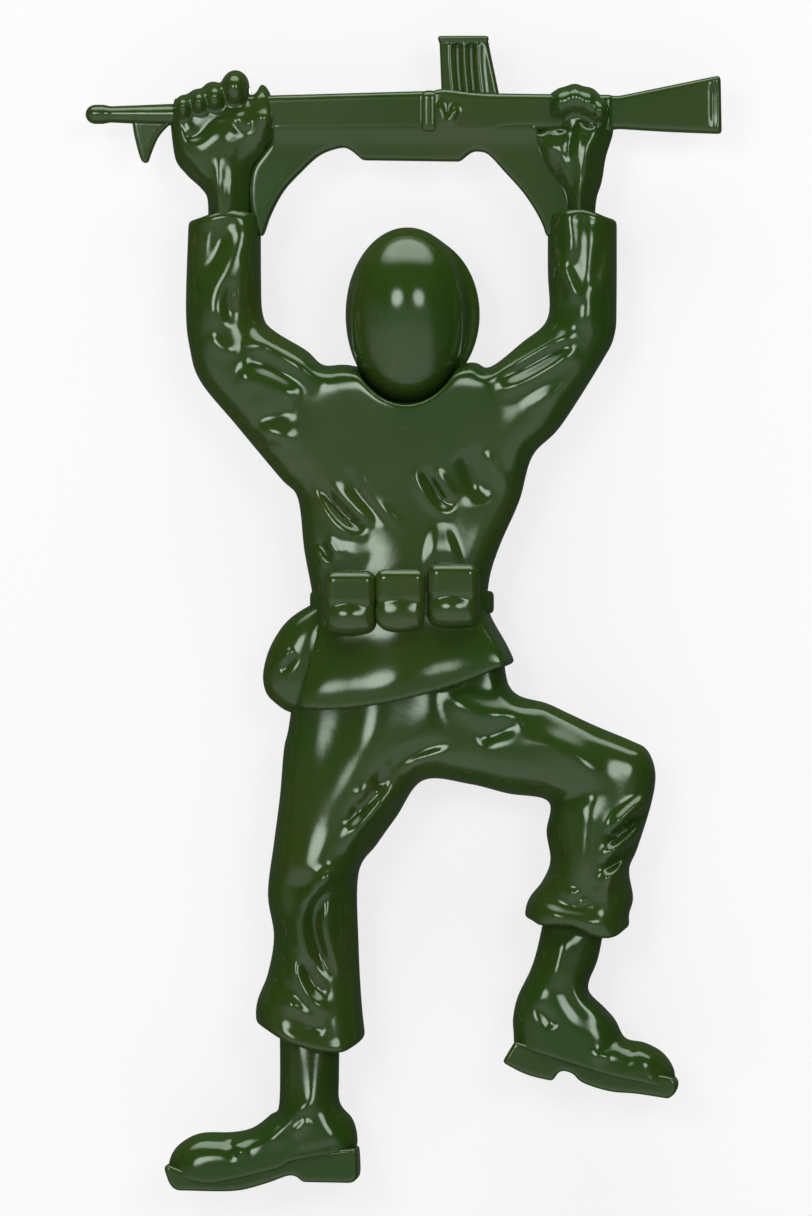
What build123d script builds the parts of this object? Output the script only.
"""Toy-soldier bottle opener: a two-sided relief figure cast in painted zinc, holding a rifle overhead.

The soldier is seen from behind by a viewer who looks along +Y; the face and the jacket front are on the +Y side.
The web between the two forearms and the rifle, with its short lip, is the crown-cap opener.

Frame, in millimetres: Z up from the sole of the standing boot, X across the figure, Y through its thickness.
The origin is the bottom centre of the whole figure's box, and the casting's parting plane is Y = 0.
A node is one modelled piece of the figure. Pieces that meet are trimmed to each other, so they touch without overlap.
Left and right are as that viewer sees them.
"""

from build123d import *
import math
import os

# Driving dimensions of the whole figure
HEIGHT = 140.0  # sole to the top of the rifle's magazine
SPAN = 76.4  # muzzle to butt plate
DEEP = 6.5  # furthest reach of the relief from the parting plane, on either side

# Opener
CAP_MOUTH = 34.6  # clear width between the forearms: a 32.1 mm crown cap passes
WEB_THICK = 3.0  # the flat web and its lip
LIP_Z = 125.0  # underside of the lip
LIP_X = 0.4  # middle of the lip
LIP_WIDTH = 10.6  # straight edge of the lip
ARCH_HEIGHT = 13.2  # from the cuffs to the top of the arch
ARCH_Z = 113.4

# Rifle, held level and upside down: its magazine stands up
RIFLE_Z = 130.6  # the rifle's axis
BARREL_R = 1.15
BARREL_ROOT_R = 1.4
HANDGUARD_X = (-27.6, 1.9)
RING_X = (1.9, 3.9)
RECEIVER_X = (3.9, 25.0)
RIFLE_HALF_THICK = 2.1
RING_STEP = 0.35  # the ring stands proud of the handguard by this much
STOCK_HALF_THICK = 1.7
MAGAZINE_X = (4.1, 11.3)
MAGAZINE_HALF_THICK = 1.6
SIGHT_HALF_THICK = 0.9
SMALL_EDGE = 0.45  # softened edge on flat parts

# Waist
WAIST_X, WAIST_Z = -0.5, 71.4
BELT_HEIGHT = 3.0
BELT_SEMI_AXES = (11.4, 5.9)
REAR_POUCH_SIZE = (5.7, 7.5)  # across and up
REAR_POUCHES = {"left": (-6.5, 71.4), "centre": (-0.4, 71.7), "right": (6.0, 72.3)}
FRONT_POUCH_SIZE = (4.6, 6.2)
FRONT_POUCHES = {"left": (-6.9, WAIST_Z), "right": (5.9, WAIST_Z)}
BUCKLE_SIZE = (4.2, 3.6)
POUCH_CORNER = 0.9
POUCH_ROUND = 0.8
BACK_INSIDE = 3.6  # pouches start this far from the parting plane, inside the jacket

# Head
HEAD_X, HELMET_Z = 0.5, 106.3
HELMET_SEMI_AXES = (7.1, DEEP, 10.8)
BRIM_SEMI_AXES = (8.3, 9.2)
FACE_Z = 103.2
FACE_SEMI_AXES = (5.2, 5.6, 6.9)
FACE_Y = DEEP - FACE_SEMI_AXES[1] - 0.6
NECK_R = 3.6
STRAP_THICK = 0.45
STRAP_WIDTH = 1.3

# Jacket hem: it rises towards the raised leg
HEM_LEFT = (-13.6, 58.7)
HEM_RIGHT = (13.6, 64.6)

# Boots
SOLE_HALF_WIDTH = 4.3
LEFT_TOE_X, LEFT_HEEL_X = -28.9, -5.7
RIGHT_TOE_X, RIGHT_HEEL_X = 32.9, 11.8

OVERSIZE = 40.0  # reach of a cutting block that has to pass right through


# Building blocks


def column(*stations):
    """Smooth upright solid. Each station is (z, left x, right x, half depth) of a level ellipse."""
    sections = []
    for z, left, right, half_depth in stations:
        plane = Plane(origin=((left + right) / 2, 0, z), x_dir=(1, 0, 0), z_dir=(0, 0, 1))
        sections.append(plane * Ellipse((right - left) / 2, half_depth))
    return loft(sections)


def row(*stations):
    """Smooth level solid. Each station is (x, low z, high z, half depth) of an upright ellipse."""
    sections = []
    for x, low, high, half_depth in stations:
        plane = Plane(origin=(x, 0, (low + high) / 2), x_dir=(0, 0, 1), z_dir=(1, 0, 0))
        sections.append(plane * Ellipse((high - low) / 2, half_depth))
    return loft(sections)


def slanted(heading, *stations):
    """Smooth solid that runs at heading degrees from +X towards +Z. A station is (x, z, half width, half depth)."""
    a = math.radians(heading)
    across = (-math.sin(a), 0, math.cos(a))
    along = (math.cos(a), 0, math.sin(a))
    sections = []
    for x, z, half_width, half_depth in stations:
        plane = Plane(origin=(x, 0, z), x_dir=across, z_dir=along)
        sections.append(plane * Ellipse(half_width, half_depth))
    return loft(sections)


def plate(outline, half_thick):
    """Flat part: an XZ outline extruded both ways from the parting plane."""
    face = make_face(Polyline(*outline, close=True))
    return extrude(Plane.XZ * face, half_thick, both=True)


def soft(slab):
    """Chamfer the edges of a plate's two flat sides."""
    sides = slab.faces().sort_by(Axis.Y)
    return chamfer(sides[0].edges() + sides[-1].edges(), SMALL_EDGE)


def block(centre, size, y_low, y_high, corner):
    """Rounded block standing between two Y values."""
    x, z = centre
    plane = Plane(origin=(x, y_low, z), x_dir=(1, 0, 0), z_dir=(0, 1, 0))
    return extrude(plane * RectangleRounded(*size, corner), y_high - y_low)


def egg(x, y, z, semi_axes):
    """Ellipsoid with its three semi-axes along X, Y and Z."""
    return Pos(x, y, z) * scale(Sphere(1.0), by=semi_axes)


def largest(shape):
    """The main solid of a cut result, leaving out slivers."""
    return max(shape.solids(), key=lambda s: s.volume)


# Rifle


def barrel():
    muzzle = -SPAN / 2
    length = HANDGUARD_X[0] - muzzle
    return Pos(muzzle + length / 2, 0, RIFLE_Z + 0.3) * Rot(0, 90, 0) * Cone(BARREL_R, BARREL_ROOT_R, length)


def tapered_plate(x_span, low, high, half_thick):
    """Plate between two X values. low and high are its Z at each end, measured from the rifle's axis."""
    corners = [
        (x_span[0], RIFLE_Z + low[0]),
        (x_span[1], RIFLE_Z + low[1]),
        (x_span[1], RIFLE_Z + high[1]),
        (x_span[0], RIFLE_Z + high[0]),
    ]
    return plate(corners, half_thick)


def magazine():
    x_low, x_high = MAGAZINE_X
    foot = RIFLE_Z + 2.1
    return plate([(x_low, foot), (x_high, foot), (x_high - 1.3, HEIGHT), (x_low, HEIGHT)], MAGAZINE_HALF_THICK)


def front_sight():
    blade = [(-33.4, -0.4), (-31.7, -5.7), (-30.9, -5.6), (-28.2, -0.9)]
    return plate([(x, RIFLE_Z + z) for x, z in blade], SIGHT_HALF_THICK)


def rifle():
    butt_x = (RECEIVER_X[1], SPAN / 2)
    return {
        "rifle_barrel": barrel(),
        "rifle_handguard": soft(tapered_plate(HANDGUARD_X, (-1.7, -1.9), (1.9, 2.7), RIFLE_HALF_THICK)),
        "rifle_ring": tapered_plate(RING_X, (-2.0, -2.0), (3.1, 3.1), RIFLE_HALF_THICK + RING_STEP),
        "rifle_receiver": soft(tapered_plate(RECEIVER_X, (-2.3, -2.2), (2.4, 1.6), RIFLE_HALF_THICK)),
        "rifle_stock": soft(tapered_plate(butt_x, (-2.2, -2.4), (1.6, 4.6), STOCK_HALF_THICK)),
        "rifle_magazine": magazine(),
        "rifle_front_sight": front_sight(),
    }


def opener_web():
    """Flat plate under the rifle, arched over the cap mouth, with the lip hanging at the top of the arch."""
    top = RIFLE_Z - 1.7
    shoulder = top - 5.0
    foot = top - 12.9
    outline = [
        (-16.6, top),
        (-18.9, shoulder),
        (-17.9, foot),
        (17.9, foot),
        (19.6, shoulder - 2.5),
        (15.0, top),
    ]
    arch = Plane.XZ * Pos(0.1, ARCH_Z) * Ellipse(CAP_MOUTH / 2, ARCH_HEIGHT)
    half_lip = LIP_WIDTH / 2
    half_root = half_lip + 3.2
    lip = [
        (LIP_X - half_root, top),
        (LIP_X - half_lip, LIP_Z),
        (LIP_X + half_lip, LIP_Z),
        (LIP_X + half_root, top),
    ]
    return plate(outline, WEB_THICK / 2) - extrude(arch, WEB_THICK, both=True) + plate(lip, WEB_THICK / 2)


# Head: the helmet's dome stands on the back, its brim runs round the parting plane, and the face is in front


def helmet():
    dome = split(egg(HEAD_X, 0, HELMET_Z, HELMET_SEMI_AXES), Plane.XZ.offset(-1.2), keep=Keep.TOP)
    brim_plane = Plane.XZ.offset(-1.6)
    brim = extrude(brim_plane * Pos(HEAD_X + 0.3, HELMET_Z + 1.6) * Ellipse(*BRIM_SEMI_AXES), 2.2)
    peak = egg(HEAD_X + 0.2, 1.6, HELMET_Z + 5.0, (7.2, 3.6, 5.6))
    peak = split(peak, Plane.XY.offset(HELMET_Z + 3.4), keep=Keep.TOP)
    return dome + brim + peak


def head():
    face = egg(HEAD_X, FACE_Y, FACE_Z, FACE_SEMI_AXES)
    nose = egg(HEAD_X, DEEP - 1.2, FACE_Z - 0.2, (0.9, 1.2, 1.5))
    neck = Pos(HEAD_X, 0.8, 97.0) * Cylinder(NECK_R, 6.0)
    return face + nose + neck


def chin_strap():
    outer = egg(HEAD_X, FACE_Y, FACE_Z, tuple(a + STRAP_THICK for a in FACE_SEMI_AXES))
    band = Pos(HEAD_X, 2.0, FACE_Z - 4.2) * Rot(24, 0, 0) * Box(OVERSIZE, 14.0, STRAP_WIDTH)
    return outer & band


# Clothes


def hem_cutter():
    """Everything below the jacket's slanted hem."""
    left_x, left_z = HEM_LEFT
    right_x, right_z = HEM_RIGHT
    slope = (right_z - left_z) / (right_x - left_x)
    corners = [
        (-OVERSIZE, left_z - slope * (OVERSIZE + left_x)),
        (OVERSIZE, right_z + slope * (OVERSIZE - right_x)),
        (OVERSIZE, 0.0),
        (-OVERSIZE, 0.0),
    ]
    return plate(corners, OVERSIZE)


def jacket():
    trunk = column(
        (57.5, -13.9, 14.0, 5.5),
        (63.0, -12.9, 13.4, 5.4),
        (70.2, -11.2, 10.4, 5.0),
        (75.0, -11.8, 10.2, 5.0),
        (80.0, -12.8, 12.2, 5.3),
        (86.0, -13.9, 14.6, 5.7),
        (92.0, -14.4, 14.6, 5.7),
        (97.0, -11.2, 11.6, 5.1),
        (100.5, -7.0, 7.8, 3.8),
    )
    left_upper = slanted(
        133,
        (-7.5, 89.0, 7.0, 5.3),
        (-12.0, 93.2, 6.9, 5.1),
        (-16.4, 97.4, 6.2, 4.8),
        (-20.7, 101.4, 5.2, 4.5),
    )
    left_fore = column(
        (99.0, -25.1, -14.6, 4.3),
        (103.5, -26.4, -16.4, 4.4),
        (108.0, -26.8, -17.4, 4.3),
        (118.5, -26.1, -17.6, 4.0),
    )
    right_upper = slanted(
        47,
        (7.5, 90.0, 7.0, 5.3),
        (12.0, 94.1, 6.4, 5.0),
        (15.9, 97.7, 5.4, 4.7),
        (19.6, 101.3, 4.6, 4.4),
    )
    right_fore = column(
        (99.6, 15.3, 23.2, 4.1),
        (104.0, 16.7, 25.3, 4.3),
        (108.0, 17.4, 25.6, 4.2),
        (118.5, 17.6, 25.4, 3.9),
    )
    return trunk - hem_cutter() + left_upper + left_fore + right_upper + right_fore


def trousers():
    left = column(
        (66.0, -11.4, 8.0, 4.8),
        (58.0, -14.0, 5.0, 5.2),
        (50.0, -15.1, 2.3, 5.3),
        (44.7, -15.6, -1.5, 5.2),
        (38.0, -16.3, -5.7, 4.9),
        (31.0, -16.0, -5.9, 4.7),
        (26.0, -16.8, -5.7, 4.9),
        (21.8, -18.2, -5.3, 5.1),
        (18.0, -16.4, -5.4, 4.5),
    )
    thigh = row(
        (-4.0, 50.0, 63.0, 5.0),
        (3.0, 50.3, 64.0, 5.2),
        (10.0, 48.8, 62.6, 5.3),
        (17.0, 47.3, 59.3, 5.2),
        (24.0, 45.5, 55.9, 4.9),
    )
    knee = egg(24.6, 0, 49.6, (5.6, 4.9, 5.2))
    shin = column(
        (50.0, 18.4, 30.1, 4.7),
        (44.5, 17.2, 29.5, 4.8),
        (39.8, 17.5, 27.6, 4.5),
        (35.0, 14.8, 27.6, 4.8),
        (32.0, 15.6, 26.4, 4.3),
    )
    return left + thigh + knee + shin


def belt():
    low = WAIST_Z - BELT_HEIGHT / 2
    across, depth = BELT_SEMI_AXES
    return column(
        (low, WAIST_X - across, WAIST_X + across, depth),
        (low + BELT_HEIGHT, WAIST_X - across, WAIST_X + across, depth),
    )


def pouches(label, places, size, side):
    """Belt pouches with a rounded outer rim. side is -1 for the back of the figure and 1 for the front."""
    made = {}
    for name, centre in places.items():
        y_low, y_high = sorted((side * BACK_INSIDE, side * DEEP))
        pad = block(centre, size, y_low, y_high, POUCH_CORNER)
        outer = pad.faces().sort_by(Axis.Y)[0 if side < 0 else -1]
        made[f"{label}_pouch_{name}"] = fillet(outer.edges(), POUCH_ROUND)
    return made


def waist_gear():
    return {
        **pouches("rear", REAR_POUCHES, REAR_POUCH_SIZE, -1),
        **pouches("front", FRONT_POUCHES, FRONT_POUCH_SIZE, 1),
        "belt_buckle": block((WAIST_X, WAIST_Z), BUCKLE_SIZE, 4.5, DEEP - 0.1, 0.5),
        "belt": belt(),
        "canteen": egg(-11.6, 0.6, 64.4, (5.8, 3.6, 7.0)),
    }


# Boots


def sole_plan(toe_x, heel_x):
    """Column with a boot sole's outline in plan: a round toe, a pinched waist and a round heel."""
    fractions = [(0.01, 0.35), (0.10, 0.80), (0.36, 0.84), (0.72, 1.0), (0.93, 0.70), (0.995, 0.30)]
    side = [(heel_x + along * (toe_x - heel_x), across * SOLE_HALF_WIDTH) for along, across in fractions]
    far = Spline(*side)
    near = Spline(*[(x, -y) for x, y in reversed(side)])
    outline = Wire([far.edge(), Line(far @ 1, near @ 0).edge(), near.edge(), Line(near @ 1, far @ 0).edge()])
    return extrude(make_face(outline), OVERSIZE)


def sole(toe_x, heel_x, profile):
    return plate(profile, 2 * SOLE_HALF_WIDTH) & sole_plan(toe_x, heel_x)


def standing_boot():
    shaft = column(
        (20.0, -15.4, -7.8, 3.7),
        (12.5, -15.3, -7.8, 3.6),
        (8.0, -16.4, -6.5, 3.7),
        (5.0, -16.0, -6.4, 3.6),
    )
    foot = row(
        (-28.8, 2.2, 3.8, 1.3),
        (-27.4, 1.0, 5.6, 3.2),
        (-24.5, 0.9, 6.5, 4.0),
        (-20.5, 1.3, 7.2, 4.1),
        (-15.0, 2.3, 9.4, 3.9),
        (-9.0, 3.2, 9.6, 3.6),
        (-6.1, 3.9, 8.0, 2.2),
    )
    return shaft + foot


def standing_sole():
    profile = [
        (LEFT_TOE_X, 1.2),
        (-28.3, 0.0),
        (-19.8, 0.0),
        (-13.6, 1.9),
        (-12.4, 1.1),
        (LEFT_HEEL_X, 1.1),
        (LEFT_HEEL_X, 5.0),
        (-14.0, 3.5),
        (-24.9, 1.6),
        (LEFT_TOE_X, 2.5),
    ]
    return sole(LEFT_TOE_X, LEFT_HEEL_X, profile)


def raised_boot():
    shaft = column(
        (34.0, 17.2, 24.8, 3.7),
        (29.2, 16.1, 23.8, 3.6),
        (25.3, 14.7, 22.5, 3.6),
        (21.5, 13.2, 23.4, 3.7),
        (18.5, 13.0, 23.4, 3.6),
    )
    foot = row(
        (13.1, 16.9, 20.6, 2.2),
        (16.5, 15.8, 23.2, 3.6),
        (21.5, 14.6, 23.6, 3.9),
        (25.5, 13.7, 20.4, 4.0),
        (29.0, 13.1, 17.8, 4.0),
        (31.4, 12.8, 16.4, 3.0),
        (32.7, 12.8, 14.6, 1.3),
    )
    return shaft + foot


def raised_sole():
    profile = [
        (RIGHT_HEEL_X, 15.7),
        (18.0, 13.4),
        (19.4, 14.5),
        (24.8, 12.2),
        (32.4, 11.3),
        (RIGHT_TOE_X, 12.3),
        (RIGHT_TOE_X, 13.3),
        (26.5, 14.2),
        (17.7, 16.4),
        (13.4, 17.9),
    ]
    return sole(RIGHT_TOE_X, RIGHT_HEEL_X, profile)


def boots():
    return {
        "boot_left": standing_boot(),
        "sole_left": standing_sole(),
        "boot_right": raised_boot(),
        "sole_right": raised_sole(),
    }


# Hands: fists closed round the rifle, with the backs of the hands towards -Y


def hands():
    left = column(
        (116.5, -24.1, -18.7, 2.6),
        (121.0, -24.1, -18.5, 2.6),
        (125.3, -26.7, -17.2, 3.6),
        (129.5, -28.1, -16.0, 4.4),
        (132.8, -27.2, -16.2, 4.2),
        (135.3, -24.2, -17.8, 2.8),
    )
    right = column(
        (116.5, 19.5, 23.4, 2.3),
        (121.0, 19.5, 23.3, 2.3),
        (125.5, 17.6, 24.7, 3.4),
        (129.3, 16.7, 25.2, 4.2),
        (132.2, 17.2, 24.9, 4.0),
        (134.0, 18.4, 23.2, 2.7),
    )
    return {"hand_left": left, "hand_right": right}


# Assembly: the piece on the left is trimmed by the pieces on the right, which keep their shape

TRIMS = [
    ("rifle_front_sight", ["rifle_barrel", "rifle_handguard"]),
    ("rifle_magazine", ["rifle_ring", "rifle_receiver"]),
    ("hand_left", ["rifle_handguard", "rifle_barrel"]),
    ("hand_right", ["rifle_receiver", "rifle_stock"]),
    ("head", ["helmet"]),
    ("chin_strap", ["helmet", "head"]),
    ("jacket", ["helmet", "head", "chin_strap", "hand_left", "hand_right"]),
    ("opener_web", ["rifle_handguard", "rifle_ring", "rifle_receiver", "hand_left", "hand_right", "jacket"]),
    ("belt", ["jacket"]),
    ("rear_pouch_left", ["jacket", "belt"]),
    ("rear_pouch_centre", ["jacket", "belt"]),
    ("rear_pouch_right", ["jacket", "belt"]),
    ("front_pouch_left", ["jacket", "belt"]),
    ("front_pouch_right", ["jacket", "belt"]),
    ("belt_buckle", ["jacket", "belt"]),
    ("trousers", ["jacket"]),
    ("canteen", ["jacket", "belt", "trousers"]),
    ("boot_left", ["trousers", "sole_left"]),
    ("boot_right", ["trousers", "sole_right"]),
]


def assembly():
    pieces = {
        **rifle(),
        **hands(),
        **waist_gear(),
        **boots(),
        "opener_web": opener_web(),
        "helmet": helmet(),
        "head": head(),
        "chin_strap": chin_strap(),
        "jacket": jacket(),
        "trousers": trousers(),
    }
    for name, keepers in TRIMS:
        for keeper in keepers:
            pieces[name] = pieces[name] - pieces[keeper]
        pieces[name] = largest(pieces[name])
    return pieces


def main():
    os.makedirs("parts", exist_ok=True)
    for name, piece in assembly().items():
        export_step(piece, f"parts/{name}.step")


main()
